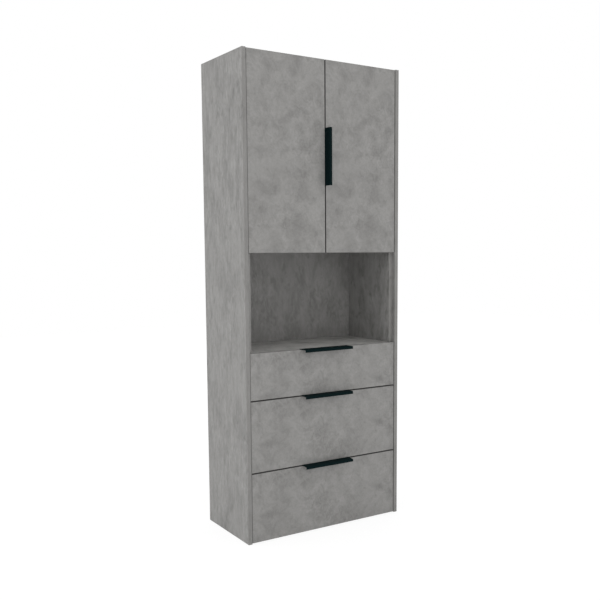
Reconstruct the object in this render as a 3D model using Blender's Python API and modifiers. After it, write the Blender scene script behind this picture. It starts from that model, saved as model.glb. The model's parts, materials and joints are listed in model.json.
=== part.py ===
# Tall cabinet: two doors over an open niche over three drawers, in grey melamine board.
# Metres, +Z up. The origin is at the middle of the footprint, and the front faces -Y.
import math

import bmesh
import bpy
from mathutils import Matrix, Vector

# The whole cabinet
WIDTH = 0.803
DEPTH = 0.405
HEIGHT = 2.100

# Boards and sheets
BOARD = 0.018
COVER_BOARD = 0.018
FRONT_BOARD = 0.018
BOX_BOARD = 0.012
SHEET = 0.003
EDGE_ROUND = 0.0008

# Gap left between two pieces that touch, and how far a cutter runs past what it cuts
SEAT = 0.0003
OVERRUN = 0.010

# Fronts: how they lie among the panels round them
FRONT_RECESS = 0.003
BUMPER_GAP = 0.0015
SIDE_GAP = 0.0025
CENTRE_GAP = 0.004
FRONT_GAP = 0.0035
FLOOR_CLEARANCE = 0.003
TOP_REVEAL = 0.002
DOOR_LAP = 0.002

# Heights, from the floor up
BOTTOM_FRONT_HEIGHT = 0.3072
MIDDLE_FRONT_HEIGHT = 0.3135
TOP_FRONT_HEIGHT = 0.2042
NICHE_HEIGHT = 0.4285
FOOT_HEIGHT = 0.030
SIDE_LIFT = 0.006

# Back sheet and its grooves
BACK_RECESS = 0.0192
BACK_GROOVE_DEPTH = 0.008

# Shelf, its pins and the system holes
SHELF_SIDE_GAP = 0.0015
SHELF_SETBACK = 0.024
SHELF_REAR_GAP = 0.002
PIN_DIAMETER = 0.005
PIN_COLLAR_DIAMETER = 0.009
PIN_COLLAR = 0.0009
PIN_REACH = 0.009
SYSTEM_PITCH = 0.032
SYSTEM_INSET = 0.037
SYSTEM_HOLE_DEPTH = 0.011
SYSTEM_HOLES_EACH_WAY = 2

# Levelling feet
FOOT_DIAMETER = 0.040
FOOT_STEM_DIAMETER = 0.012
FOOT_CAP_DIAMETER = 0.034
FOOT_INSET = 0.055

# Edge pulls of bent sheet
PULL_LENGTH = 0.250
PULL_PLATE = 0.002
PULL_REACH = 0.035
PULL_LIP = 0.012
PULL_LEG = 0.020
PULL_BEND = 0.0018
DOOR_PULL_LIFT = 0.2946
DRAWER_PULL_OFFSET = -0.004

# Concealed hinges
HINGE_INSET = 0.110
CUP_DIAMETER = 0.035
CUP_DEPTH = 0.0115
CUP_WALL = 0.001
CUP_EDGE = 0.005
CUP_FLANGE = 0.0008
CUP_FLANGE_LENGTH = 0.062
CUP_FLANGE_WIDTH = 0.024
CUP_FLANGE_SHIFT = 0.008
ARM_WIDTH = 0.014
ARM_WALL = 0.0014
ARM_LIFT = 0.003
ARM_HEIGHT = 0.011
ARM_TAIL = 0.014
ARM_TIP_PLAY = 0.0004
ARM_TIP_INSET = 0.001
HINGE_PLATE = 0.002
HINGE_PLATE_LENGTH = 0.048
HINGE_PLATE_WIDTH = 0.018
HINGE_BLOCK = 0.022

# Drawer boxes
BOX_RISE = 0.057
BOX_LIFT = 0.019
BOX_REAR_GAP = 0.020
BOX_GROOVE_RISE = 0.010
BOX_GROOVE_DEPTH = 0.006

# Roller runners
RUNNER_SPACE = 0.0125
RUNNER_STEEL = 0.0012
RUNNER_SETBACK = 0.002
RUNNER_REAR_GAP = 0.008
RUNNER_PLAY = 0.0003
RUNNER_SIDE_PLAY = 0.001
RUNNER_SEAT_WIDTH = 0.010
RUNNER_BEND = 0.0009
ROLLER_DIAMETER = 0.022
ROLLER_WIDTH = 0.0065
FRONT_ROLLER_DROP = 0.003
ROLLER_INSET = 0.006
AXLE_DIAMETER = 0.006

# Steps of round forms
ROUND_STEPS = 32
SMALL_ROUND_STEPS = 12
BEND_STEPS = 3

# Places that several pieces share
FRONT_EDGE = -(DEPTH - PULL_REACH) / 2
FRONT_FACE = FRONT_EDGE + FRONT_RECESS
FRONT_BACK = FRONT_FACE + FRONT_BOARD
CARCASS_FRONT = FRONT_BACK + BUMPER_GAP
REAR_EDGE = FRONT_EDGE + DEPTH
SHEET_REAR = REAR_EDGE - BACK_RECESS
SHEET_FACE = SHEET_REAR - SHEET
COVER_INNER = WIDTH / 2 - COVER_BOARD
SIDE_OUTER = COVER_INNER - SEAT
SIDE_INNER = SIDE_OUTER - BOARD
FRONT_HALF_WIDTH = COVER_INNER - SIDE_GAP
BOX_HALF_WIDTH = SIDE_INNER - RUNNER_SPACE

BOTTOM_FRONT_LOW = FLOOR_CLEARANCE
MIDDLE_FRONT_LOW = BOTTOM_FRONT_LOW + BOTTOM_FRONT_HEIGHT + FRONT_GAP
TOP_FRONT_LOW = MIDDLE_FRONT_LOW + MIDDLE_FRONT_HEIGHT + FRONT_GAP
NICHE_FLOOR = TOP_FRONT_LOW + TOP_FRONT_HEIGHT
NICHE_CEILING = NICHE_FLOOR + NICHE_HEIGHT
DOOR_LOW = NICHE_CEILING - DOOR_LAP
DOOR_HIGH = HEIGHT - TOP_REVEAL
ROOM_LOW = NICHE_CEILING + BOARD
ROOM_HIGH = HEIGHT - BOARD
SHELF_LOW = (ROOM_LOW + ROOM_HIGH - BOARD) / 2
HINGE_HEIGHTS = {"lower": DOOR_LOW + HINGE_INSET, "upper": DOOR_HIGH - HINGE_INSET}

# Sides of the cabinet, and which way each one lies along X
SIDES = {"left": -1, "right": 1}


def clear_scene():
    for old in list(bpy.data.objects):
        bpy.data.objects.remove(old)


def new_collection(name):
    collection = bpy.data.collections.new(name)
    bpy.context.scene.collection.children.link(collection)
    return collection


def new_material(name, colour, roughness, metallic=0.0):
    material = bpy.data.materials.new(name)
    material.use_nodes = True
    shader = material.node_tree.nodes["Principled BSDF"]
    shader.inputs["Base Color"].default_value = (*colour, 1.0)
    shader.inputs["Roughness"].default_value = roughness
    shader.inputs["Metallic"].default_value = metallic
    return material


clear_scene()
CABINET = new_collection("tall_cabinet")
CUTTERS = new_collection("cutters")

CONCRETE_MELAMINE = new_material("concrete_melamine", (0.27, 0.265, 0.255), 0.55)
GREY_HARDBOARD = new_material("grey_hardboard", (0.25, 0.25, 0.24), 0.6)
GREY_BOX_BOARD = new_material("grey_box_board", (0.42, 0.42, 0.41), 0.5)
BLACK_POWDER_COAT = new_material("black_powder_coat", (0.006, 0.010, 0.011), 0.45)
NICKEL_STEEL = new_material("nickel_plated_steel", (0.62, 0.61, 0.58), 0.3, 1.0)
WHITE_STEEL = new_material("coated_runner_steel", (0.5, 0.5, 0.49), 0.4)
BLACK_PLASTIC = new_material("black_plastic", (0.02, 0.02, 0.02), 0.5)


def place(piece, name, material, collection=None):
    """Name a piece, give it its material, and move it to its collection."""
    piece.name = name
    piece.data.name = name
    piece.data.materials.clear()
    piece.data.materials.append(material)
    for old in list(piece.users_collection):
        old.objects.unlink(piece)
    (collection or CABINET).objects.link(piece)
    return piece


def hide_cutter(cutter):
    cutter.hide_render = True
    cutter.display_type = "WIRE"
    return cutter


def box(low, high):
    """A block between two corners, with its size in its mesh."""
    low, high = Vector(low), Vector(high)
    bpy.ops.mesh.primitive_cube_add(size=1, location=(low + high) / 2)
    block = bpy.context.object
    block.data.transform(Matrix.Diagonal((*(high - low), 1)))
    return block


def board(name, low, high, material, rounded=False):
    """A board between two corners; its edges are eased where they are seen."""
    panel = place(box(low, high), name, material)
    if rounded:
        ease = panel.modifiers.new("eased_edges", "BEVEL")
        ease.width = EDGE_ROUND
        ease.segments = 1
    return panel


def rod(start, direction, length, diameter, steps=ROUND_STEPS):
    """A round bar from a point along a direction."""
    direction = Vector(direction)
    bpy.ops.mesh.primitive_cylinder_add(
        vertices=steps, radius=diameter / 2, depth=length,
        location=Vector(start) + direction * (length / 2),
        rotation=direction.to_track_quat("Z", "Y").to_euler())
    return bpy.context.object


def as_cutter(piece, name):
    return hide_cutter(place(piece, name, BLACK_PLASTIC, CUTTERS))


def join(piece, other, operation):
    """Cut another shape out of a piece, or fuse it on."""
    boolean = piece.modifiers.new(other.name, "BOOLEAN")
    boolean.operation = operation
    boolean.solver = "EXACT"
    boolean.object = other
    return piece


def cut(piece, cutter):
    return join(piece, cutter, "DIFFERENCE")


def fuse(piece, other):
    return join(piece, other, "UNION")


def smooth(piece):
    """Shade round faces smooth and keep real edges sharp."""
    piece.data.shade_smooth()
    piece.data.set_sharp_from_angle(angle=math.radians(40))
    return piece


def grown(panel, clearance, name):
    """A block that holds a plain panel with a clearance on every side, to cut its groove."""
    corners = [panel.location + vertex.co for vertex in panel.data.vertices]
    low = Vector([min(corner[axis] for corner in corners) - clearance for axis in range(3)])
    high = Vector([max(corner[axis] for corner in corners) + clearance for axis in range(3)])
    return as_cutter(box(low, high), name)


def turned(name, profile, material, place_at, along, steps=ROUND_STEPS):
    """A turned piece: (radius, height) points spun round the height, which then lies along a direction."""
    mesh = bpy.data.meshes.new(name)
    mesh.from_pydata([(radius, 0, height) for radius, height in profile],
                     [(index, index + 1) for index in range(len(profile) - 1)], [])
    piece = bpy.data.objects.new(name, mesh)
    piece.location = place_at
    piece.rotation_euler = Vector(along).to_track_quat("Z", "Y").to_euler()
    spin = piece.modifiers.new("turned", "SCREW")
    spin.steps = spin.render_steps = steps
    spin.use_merge_vertices = True
    spin.merge_threshold = 0.00005
    spin.use_smooth_shade = True
    return place(piece, name, material)


def rounded_path(corners, radius):
    """A path through 2D corners, with an arc of the bend's radius at each inner corner."""
    points = [Vector(corners[0])]
    for before, corner, after in zip(corners, corners[1:], corners[2:]):
        corner = Vector(corner)
        back = (Vector(before) - corner).normalized()
        ahead = (Vector(after) - corner).normalized()
        half = back.angle(ahead) / 2
        middle = corner + (back + ahead).normalized() * (radius / math.sin(half))
        first = corner + back * (radius / math.tan(half)) - middle
        last = corner + ahead * (radius / math.tan(half)) - middle
        turn = first.angle_signed(last)
        for step in range(BEND_STEPS + 1):
            points.append(middle + Matrix.Rotation(-turn * step / BEND_STEPS, 2) @ first)
    points.append(Vector(corners[-1]))
    return points


def bent_sheet(name, corners, bend, thickness, start, across, up, along, length, material):
    """Sheet bent along a 2D path (its middle line) and drawn out straight for a length."""
    start, across, up, along = (Vector(v) for v in (start, across, up, along))
    path = rounded_path(corners, bend)
    points = [start + across * point.x + up * point.y for point in path]
    mesh = bpy.data.meshes.new(name)
    shape = bmesh.new()
    line = [shape.verts.new(point) for point in points]
    edges = [shape.edges.new(pair) for pair in zip(line, line[1:])]
    drawn = bmesh.ops.extrude_edge_only(shape, edges=edges)["geom"]
    moved = [item for item in drawn if isinstance(item, bmesh.types.BMVert)]
    bmesh.ops.translate(shape, verts=moved, vec=along * length)
    shape.to_mesh(mesh)
    shape.free()
    piece = bpy.data.objects.new(name, mesh)
    solid = piece.modifiers.new("thickness", "SOLIDIFY")
    solid.thickness = thickness
    solid.offset = 0
    solid.use_even_offset = True
    return smooth(place(piece, name, material))


def cover_panel(side, sign):
    """The outer side board, which stands on the floor and frames the fronts."""
    edges = sorted((sign * COVER_INNER, sign * WIDTH / 2))
    return board(f"cover_panel_{side}", (edges[0], FRONT_EDGE, 0), (edges[1], REAR_EDGE, HEIGHT),
                 CONCRETE_MELAMINE, rounded=True)


def carcass_side(side, sign, groove):
    """The inner side board, with the groove for the back sheet and the system holes."""
    edges = sorted((sign * SIDE_INNER, sign * SIDE_OUTER))
    panel = board(f"carcass_side_{side}", (edges[0], CARCASS_FRONT, SIDE_LIFT),
                  (edges[1], REAR_EDGE, HEIGHT), CONCRETE_MELAMINE)
    cut(panel, groove)
    cut(panel, system_holes(side, sign))
    return panel


def system_holes(side, sign):
    """One cutter for both columns of blind holes in a carcass side."""
    holes = []
    for depth in pin_rows().values():
        for step in range(-SYSTEM_HOLES_EACH_WAY, SYSTEM_HOLES_EACH_WAY + 1):
            mouth = (sign * (SIDE_INNER - OVERRUN), depth, pin_height() + step * SYSTEM_PITCH)
            holes.append(rod(mouth, (sign, 0, 0), OVERRUN + SYSTEM_HOLE_DEPTH,
                             PIN_DIAMETER + 2 * SEAT, SMALL_ROUND_STEPS))
    for hole in holes:
        hole.select_set(True)
    bpy.ops.object.join()
    return as_cutter(bpy.context.object, f"system_holes_{side}")


def pin_rows():
    """How far back the two columns of system holes lie."""
    return {"front": CARCASS_FRONT + SYSTEM_INSET, "back": SHEET_FACE - SYSTEM_INSET}


def pin_height():
    return SHELF_LOW - SEAT - PIN_DIAMETER / 2


def shelf_pin(side, sign, row, depth):
    """A turned pin: its stem in the hole, its collar on the board, its nose under the shelf."""
    radius, collar = PIN_DIAMETER / 2, PIN_COLLAR_DIAMETER / 2
    stem = SYSTEM_HOLE_DEPTH - SEAT
    profile = [(0, PIN_REACH), (radius, PIN_REACH), (radius, SEAT + PIN_COLLAR),
               (collar, SEAT + PIN_COLLAR), (collar, SEAT), (radius, SEAT), (radius, -stem), (0, -stem)]
    return turned(f"shelf_pin_{side}_{row}", profile, NICKEL_STEEL,
                  (sign * SIDE_INNER, depth, pin_height()), (-sign, 0, 0), SMALL_ROUND_STEPS)


def back_sheet():
    """The hardboard back, held in grooves all round."""
    reach = SIDE_INNER + BACK_GROOVE_DEPTH - SEAT
    return board("back_panel", (-reach, SHEET_FACE, FOOT_HEIGHT + SEAT + BOARD - BACK_GROOVE_DEPTH + SEAT),
                 (reach, SHEET_REAR, ROOM_HIGH + BACK_GROOVE_DEPTH - SEAT), GREY_HARDBOARD)


def level_panel(name, low, rear, material=CONCRETE_MELAMINE):
    """A board that lies between the carcass sides."""
    reach = SIDE_INNER - SEAT
    return board(name, (-reach, CARCASS_FRONT, low), (reach, rear, low + BOARD), material)


def carcass():
    """The fixed boards: sides, top, bottom, niche floor, ceiling and back, and the back sheet."""
    sheet = back_sheet()
    groove = grown(sheet, SEAT, "back_groove")
    for side, sign in SIDES.items():
        cover_panel(side, sign)
        carcass_side(side, sign, groove)
    cut(level_panel("top_panel", ROOM_HIGH, REAR_EDGE), groove)
    cut(level_panel("bottom_panel", FOOT_HEIGHT + SEAT, REAR_EDGE), groove)
    level_panel("niche_floor_panel", NICHE_FLOOR - BOARD, SHEET_FACE - SEAT)
    level_panel("niche_top_panel", NICHE_CEILING, SHEET_FACE - SEAT)
    reach = SIDE_INNER - SEAT
    board("niche_back_panel", (-reach, SHEET_FACE - SEAT - BOARD, NICHE_FLOOR + SEAT),
          (reach, SHEET_FACE - SEAT, NICHE_CEILING - SEAT), CONCRETE_MELAMINE)


def shelf():
    """The adjustable shelf and its four pins."""
    reach = SIDE_INNER - SHELF_SIDE_GAP
    board("adjustable_shelf", (-reach, CARCASS_FRONT + SHELF_SETBACK, SHELF_LOW),
          (reach, SHEET_FACE - SHELF_REAR_GAP, SHELF_LOW + BOARD), CONCRETE_MELAMINE)
    for side, sign in SIDES.items():
        for row, depth in pin_rows().items():
            shelf_pin(side, sign, row, depth)


def levelling_feet():
    """Four turned plastic feet between the floor and the bottom panel."""
    sole, stem, cap = FOOT_DIAMETER / 2, FOOT_STEM_DIAMETER / 2, FOOT_CAP_DIAMETER / 2
    sole_share, neck_share, cap_share = 0.16, 0.32, 0.78
    profile = [(0, FOOT_HEIGHT), (cap, FOOT_HEIGHT), (cap, FOOT_HEIGHT * cap_share),
               (stem, FOOT_HEIGHT * cap_share), (stem, FOOT_HEIGHT * neck_share),
               (sole, FOOT_HEIGHT * sole_share), (sole, 0), (0, 0)]
    rows = {"front": CARCASS_FRONT + FOOT_INSET, "back": REAR_EDGE - FOOT_INSET}
    for side, sign in SIDES.items():
        for row, depth in rows.items():
            turned(f"levelling_foot_{side}_{row}", profile, BLACK_PLASTIC,
                   (sign * (SIDE_INNER - FOOT_INSET), depth, 0), (0, 0, 1))


def edge_pull(name, start, outward_up, along):
    """A pull bent from sheet: a leg behind the front, a plate over its edge, and a turned lip.

    start lies on the front's edge in the plane of its back; outward_up points off that edge.
    """
    half = PULL_PLATE / 2
    reach = FRONT_BACK - FRONT_EDGE + PULL_REACH
    corners = [(-half, -PULL_LEG), (-half, SEAT + half), (half - reach, SEAT + half),
               (half - reach, SEAT + PULL_PLATE - PULL_LIP)]
    return bent_sheet(name, corners, PULL_BEND, PULL_PLATE, start, (0, 1, 0), outward_up, along,
                      PULL_LENGTH, BLACK_POWDER_COAT)


def pull_recess(front, start, outward_up, along):
    """Sink the pull's leg in the back of its front."""
    start, up, along = Vector(start), Vector(outward_up), Vector(along)
    inner = start - along * SEAT - up * (PULL_LEG + SEAT) - Vector((0, PULL_PLATE + SEAT, 0))
    outer = start + along * (PULL_LENGTH + SEAT) + up * OVERRUN + Vector((0, OVERRUN, 0))
    low = [min(pair) for pair in zip(inner, outer)]
    high = [max(pair) for pair in zip(inner, outer)]
    cut(front, as_cutter(box(low, high), f"{front.name}_recess"))


def door(side, sign):
    """A door with its blind cup bores, its hinge cups, and the arms that hold it."""
    edges = sorted((sign * CENTRE_GAP / 2, sign * FRONT_HALF_WIDTH))
    leaf = board(f"{side}_door", (edges[0], FRONT_FACE, DOOR_LOW), (edges[1], FRONT_BACK, DOOR_HIGH),
                 CONCRETE_MELAMINE, rounded=True)
    centre = sign * (FRONT_HALF_WIDTH - CUP_EDGE - CUP_DIAMETER / 2)
    for level, height in HINGE_HEIGHTS.items():
        bore = rod((centre, FRONT_BACK - CUP_DEPTH - SEAT, height), (0, 1, 0),
                   CUP_DEPTH + OVERRUN, CUP_DIAMETER + 2 * SEAT)
        cut(leaf, as_cutter(bore, f"{side}_cup_bore_{level}"))
        hinge_cup(side, sign, level, centre, height)
        hinge_arm(side, sign, level, height)
    return leaf


def hinge_cup(side, sign, level, centre, height):
    """A pressed steel cup with the flange that is screwed to the door's back."""
    start = Vector((centre, FRONT_BACK - CUP_DEPTH, height))
    cup = rod(start, (0, 1, 0), CUP_DEPTH + SEAT + CUP_FLANGE / 2, CUP_DIAMETER)
    place(smooth(cup), f"hinge_cup_{side}_{level}", NICKEL_STEEL)
    middle = centre - sign * CUP_FLANGE_SHIFT
    flange = box((middle - CUP_FLANGE_WIDTH / 2, FRONT_BACK + SEAT, height - CUP_FLANGE_LENGTH / 2),
                 (middle + CUP_FLANGE_WIDTH / 2, FRONT_BACK + SEAT + CUP_FLANGE,
                  height + CUP_FLANGE_LENGTH / 2))
    fuse(cup, as_cutter(flange, f"cup_flange_{side}_{level}"))
    inside = rod(start + Vector((0, CUP_WALL, 0)), (0, 1, 0), CUP_DEPTH + OVERRUN,
                 CUP_DIAMETER - 2 * CUP_WALL)
    return cut(cup, as_cutter(inside, f"cup_inside_{side}_{level}"))


def extruded_outline(name, outline, low, high):
    """A flat outline of (x, y) points drawn out between two heights."""
    mesh = bpy.data.meshes.new(name)
    shape = bmesh.new()
    face = shape.faces.new([shape.verts.new((x, y, low)) for x, y in outline])
    drawn = bmesh.ops.extrude_face_region(shape, geom=[face])["geom"]
    moved = [item for item in drawn if isinstance(item, bmesh.types.BMVert)]
    bmesh.ops.translate(shape, verts=moved, vec=(0, 0, high - low))
    bmesh.ops.recalc_face_normals(shape, faces=shape.faces)
    shape.to_mesh(mesh)
    shape.free()
    return bpy.data.objects.new(name, mesh)


def hinge_arm(side, sign, level, height):
    """The arm: a channel over its mounting plate, with its tip in the cup at rest."""
    def across(inward):
        return sign * (SIDE_INNER - inward)

    tip = FRONT_BACK - CUP_DEPTH + CUP_WALL + ARM_TIP_PLAY
    top = ARM_LIFT + ARM_HEIGHT
    row = CARCASS_FRONT + SYSTEM_INSET
    slope = row + HINGE_BLOCK / 2 + ARM_WALL
    rear = slope + ARM_TAIL
    outline = [(ARM_LIFT + ARM_TIP_INSET, tip), (top - ARM_TIP_INSET - ARM_TIP_INSET, tip),
               (top, CARCASS_FRONT), (top, slope),
               (top - ARM_LIFT, rear), (ARM_LIFT, rear), (ARM_LIFT, CARCASS_FRONT)]
    half = ARM_WIDTH / 2
    arm = extruded_outline("arm", [(across(u), y) for u, y in outline], height - half, height + half)
    place(arm, f"hinge_arm_{side}_{level}", NICKEL_STEEL)
    inside = [(ARM_LIFT - OVERRUN, CARCASS_FRONT), (top - ARM_WALL, CARCASS_FRONT),
              (top - ARM_WALL, slope),
              (top - ARM_LIFT - ARM_WALL, rear + OVERRUN), (ARM_LIFT - OVERRUN, rear + OVERRUN)]
    hollow = extruded_outline("hollow", [(across(u), y) for u, y in inside],
                              height - half + ARM_WALL, height + half - ARM_WALL)
    cut(arm, as_cutter(hollow, f"arm_hollow_{side}_{level}"))
    xs = sorted((across(SEAT), across(SEAT + HINGE_PLATE)))
    plate = box((xs[0], row - HINGE_PLATE_WIDTH / 2, height - HINGE_PLATE_LENGTH / 2),
                (xs[1], row + HINGE_PLATE_WIDTH / 2, height + HINGE_PLATE_LENGTH / 2))
    fuse(arm, as_cutter(plate, f"hinge_plate_{side}_{level}"))
    xs = sorted((across(SEAT + HINGE_PLATE / 2), across(top - ARM_WALL / 2)))
    inset = half - ARM_WALL - SEAT
    block = box((xs[0], row - HINGE_BLOCK / 2, height - inset), (xs[1], row + HINGE_BLOCK / 2, height + inset))
    return fuse(arm, as_cutter(block, f"hinge_block_{side}_{level}"))


def doors():
    """Both doors, and the upright pull on the left edge of the right door."""
    leaves = {side: door(side, sign) for side, sign in SIDES.items()}
    start = (CENTRE_GAP / 2, FRONT_BACK, DOOR_LOW + DOOR_PULL_LIFT)
    pull_recess(leaves["right"], start, (-1, 0, 0), (0, 0, 1))
    edge_pull("door_pull", start, (-1, 0, 0), (0, 0, 1))


def drawer(level, low, front_height):
    """A drawer: front, pull, two grooved sides, back, bottom sheet and its runner members."""
    high = low + front_height
    front = board(f"{level}_drawer_front", (-FRONT_HALF_WIDTH, FRONT_FACE, low),
                  (FRONT_HALF_WIDTH, FRONT_BACK, high), CONCRETE_MELAMINE, rounded=True)
    start = (DRAWER_PULL_OFFSET - PULL_LENGTH / 2, FRONT_BACK, high)
    pull_recess(front, start, (0, 0, 1), (1, 0, 0))
    edge_pull(f"{level}_drawer_pull", start, (0, 0, 1), (1, 0, 0))

    box_low = low + BOX_RISE
    box_high = high - BOARD - BOX_LIFT
    box_front = FRONT_BACK + SEAT
    box_rear = SHEET_FACE - BOX_REAR_GAP
    inner = BOX_HALF_WIDTH - BOX_BOARD
    sheet_low = box_low + BOX_GROOVE_RISE
    reach = inner + BOX_GROOVE_DEPTH - SEAT
    sheet = board(f"{level}_drawer_bottom", (-reach, FRONT_BACK - BOX_GROOVE_DEPTH + SEAT, sheet_low),
                  (reach, box_rear, sheet_low + SHEET), GREY_HARDBOARD)
    groove = grown(sheet, SEAT, f"{level}_bottom_groove")
    cut(front, groove)
    for side, sign in SIDES.items():
        edges = sorted((sign * inner, sign * BOX_HALF_WIDTH))
        cheek = board(f"{level}_drawer_side_{side}", (edges[0], box_front, box_low),
                      (edges[1], box_rear, box_high), GREY_BOX_BOARD)
        cut(cheek, groove)
        cabinet_runner(level, side, sign, box_low)
        drawer_runner(level, side, sign, box_low)
    board(f"{level}_drawer_back", (SEAT - inner, box_rear - BOX_BOARD, sheet_low + SHEET + SEAT),
          (inner - SEAT, box_rear, box_high), GREY_BOX_BOARD)


def roller(side_face, sign, depth, height, diameter, web):
    """A roller on its axle; the axle reaches into the runner's web."""
    wheel = rod((side_face, depth, height), (sign, 0, 0), ROLLER_WIDTH, diameter, ROUND_STEPS // 2)
    axle_start, axle_end = sorted((web, side_face + sign * ROLLER_WIDTH / 2))
    axle = rod((axle_start, depth, height), (1, 0, 0), axle_end - axle_start, AXLE_DIAMETER,
               SMALL_ROUND_STEPS)
    return wheel, axle


def channel_floor(box_low):
    """Height at which the drawer's rollers run: level with the underside of the drawer member."""
    return box_low - SEAT - RUNNER_STEEL


def runner_ends():
    return CARCASS_FRONT + RUNNER_SETBACK, SHEET_FACE - RUNNER_REAR_GAP


def cabinet_runner(level, side, sign, box_low):
    """The member on the carcass side: a channel, with the front roller that carries the drawer."""
    half = RUNNER_STEEL / 2
    floor = channel_floor(box_low)
    ceiling = floor + ROLLER_DIAMETER + 2 * RUNNER_PLAY
    lip = RUNNER_SPACE - SEAT - RUNNER_STEEL - RUNNER_SIDE_PLAY
    corners = [(lip, floor - half), (SEAT + half, floor - half), (SEAT + half, ceiling + half),
               (lip, ceiling + half)]
    front, rear = runner_ends()
    member = bent_sheet(f"{level}_cabinet_runner_{side}", corners, RUNNER_BEND, RUNNER_STEEL,
                        (sign * SIDE_INNER, front, 0), (-sign, 0, 0), (0, 0, 1), (0, 1, 0),
                        rear - front, WHITE_STEEL)
    diameter = ROLLER_DIAMETER - RUNNER_STEEL - FRONT_ROLLER_DROP
    height = floor + ROLLER_DIAMETER - RUNNER_STEEL - diameter / 2
    face = sign * (SIDE_INNER - lip + RUNNER_PLAY)
    pair = roller(face, sign, front + ROLLER_INSET + diameter / 2, height, diameter,
                  sign * (SIDE_INNER - SEAT - half))
    for part, shape in zip(("wheel", "axle"), pair):
        fuse(member, as_cutter(shape, f"{level}_front_{part}_{side}"))
    return member


def drawer_runner(level, side, sign, box_low):
    """The member on the drawer: a seat under the side, a web, a top flange, and the rear roller."""
    half = RUNNER_STEEL / 2
    floor = channel_floor(box_low)
    top = floor + RUNNER_PLAY + ROLLER_DIAMETER
    web = RUNNER_SPACE - SEAT - half
    flange = SEAT + RUNNER_STEEL + RUNNER_SIDE_PLAY
    corners = [(web + RUNNER_SEAT_WIDTH, floor + half), (web, floor + half), (web, top - half),
               (flange, top - half)]
    front, rear = runner_ends()
    rear = min(rear, SHEET_FACE - BOX_REAR_GAP)
    member = bent_sheet(f"{level}_drawer_runner_{side}", corners, RUNNER_BEND, RUNNER_STEEL,
                        (sign * SIDE_INNER, front, 0), (-sign, 0, 0), (0, 0, 1), (0, 1, 0),
                        rear - front, WHITE_STEEL)
    face = sign * (SIDE_INNER - flange)
    pair = roller(face, -sign, rear - ROLLER_INSET - ROLLER_DIAMETER / 2,
                  floor + RUNNER_PLAY + ROLLER_DIAMETER / 2, ROLLER_DIAMETER,
                  sign * (SIDE_INNER - web))
    for part, shape in zip(("wheel", "axle"), pair):
        fuse(member, as_cutter(shape, f"{level}_rear_{part}_{side}"))
    return member


carcass()
shelf()
levelling_feet()
doors()
drawer("top", TOP_FRONT_LOW, TOP_FRONT_HEIGHT)
drawer("middle", MIDDLE_FRONT_LOW, MIDDLE_FRONT_HEIGHT)
drawer("bottom", BOTTOM_FRONT_LOW, BOTTOM_FRONT_HEIGHT)
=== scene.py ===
import json
import math

import bpy
import numpy as np
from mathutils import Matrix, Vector


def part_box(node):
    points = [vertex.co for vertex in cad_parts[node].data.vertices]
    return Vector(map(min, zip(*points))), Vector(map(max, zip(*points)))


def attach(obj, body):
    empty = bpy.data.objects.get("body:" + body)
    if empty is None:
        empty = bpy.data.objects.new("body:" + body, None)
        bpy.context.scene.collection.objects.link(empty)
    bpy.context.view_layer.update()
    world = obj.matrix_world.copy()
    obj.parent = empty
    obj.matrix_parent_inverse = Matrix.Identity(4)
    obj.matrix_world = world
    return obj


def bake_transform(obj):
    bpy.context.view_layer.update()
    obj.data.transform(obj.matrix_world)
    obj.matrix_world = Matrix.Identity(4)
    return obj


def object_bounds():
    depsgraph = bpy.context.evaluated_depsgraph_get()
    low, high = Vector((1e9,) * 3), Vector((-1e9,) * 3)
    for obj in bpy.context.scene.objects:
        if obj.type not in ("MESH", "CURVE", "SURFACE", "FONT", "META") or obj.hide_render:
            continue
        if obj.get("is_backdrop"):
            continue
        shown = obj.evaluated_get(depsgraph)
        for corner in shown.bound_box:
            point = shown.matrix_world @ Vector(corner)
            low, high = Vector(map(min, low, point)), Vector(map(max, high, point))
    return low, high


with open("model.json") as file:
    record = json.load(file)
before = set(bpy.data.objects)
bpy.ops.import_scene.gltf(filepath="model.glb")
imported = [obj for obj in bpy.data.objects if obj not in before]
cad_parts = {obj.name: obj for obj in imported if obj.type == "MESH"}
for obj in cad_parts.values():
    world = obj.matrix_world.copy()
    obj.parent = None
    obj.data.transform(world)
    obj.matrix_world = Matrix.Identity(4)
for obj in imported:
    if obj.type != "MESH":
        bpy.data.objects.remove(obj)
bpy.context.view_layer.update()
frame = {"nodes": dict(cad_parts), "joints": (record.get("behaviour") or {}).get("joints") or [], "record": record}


# The set: the camera stands at the front left, at the height of the niche, over a pale floor.
# An even studio light does most of the work, with one broad lamp from the left for the side
# and two from the front. The camera sees the world as white, and the floor with a faint shadow.
EYE = (-1.93519, -3.25523, 1.28683)
HEADING, DIP = math.radians(34.616), math.radians(5.989)
LENS_MM, SENSOR_MM = 48.636, 36.0
SHIFT = (-0.1002, 0.0533)
FLOOR_HALF, FLOOR_DROP = 9.0, 0.0004
# Strengths, where 1 is white, and the share of the floor's look that is glow.
FLOOR_GLOW, GLOW_SHARE, STUDIO_LIGHT, SEEN_LIGHT = 1.055, 0.80, 1.0, 1.0
LAMPS = {
    "side_lamp": {"place": (-4.6, 0.6, 1.2), "aim": (0.0, 0.1, 1.05), "size": 3.0, "watts": 30.0,
                  "colour": "#fdfeff"},
    "low_front_lamp": {"place": (-1.4, -4.4, 0.2), "aim": (0.0, 0.0, 0.3), "size": 2.6,
                       "watts": 35.0, "colour": "#ffffff"},
    "high_front_lamp": {"place": (-1.0, -2.1, 4.1), "aim": (0.0, -0.1, 0.9), "size": 1.6,
                        "watts": 13.0, "colour": "#ffffff"},
}


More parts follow.
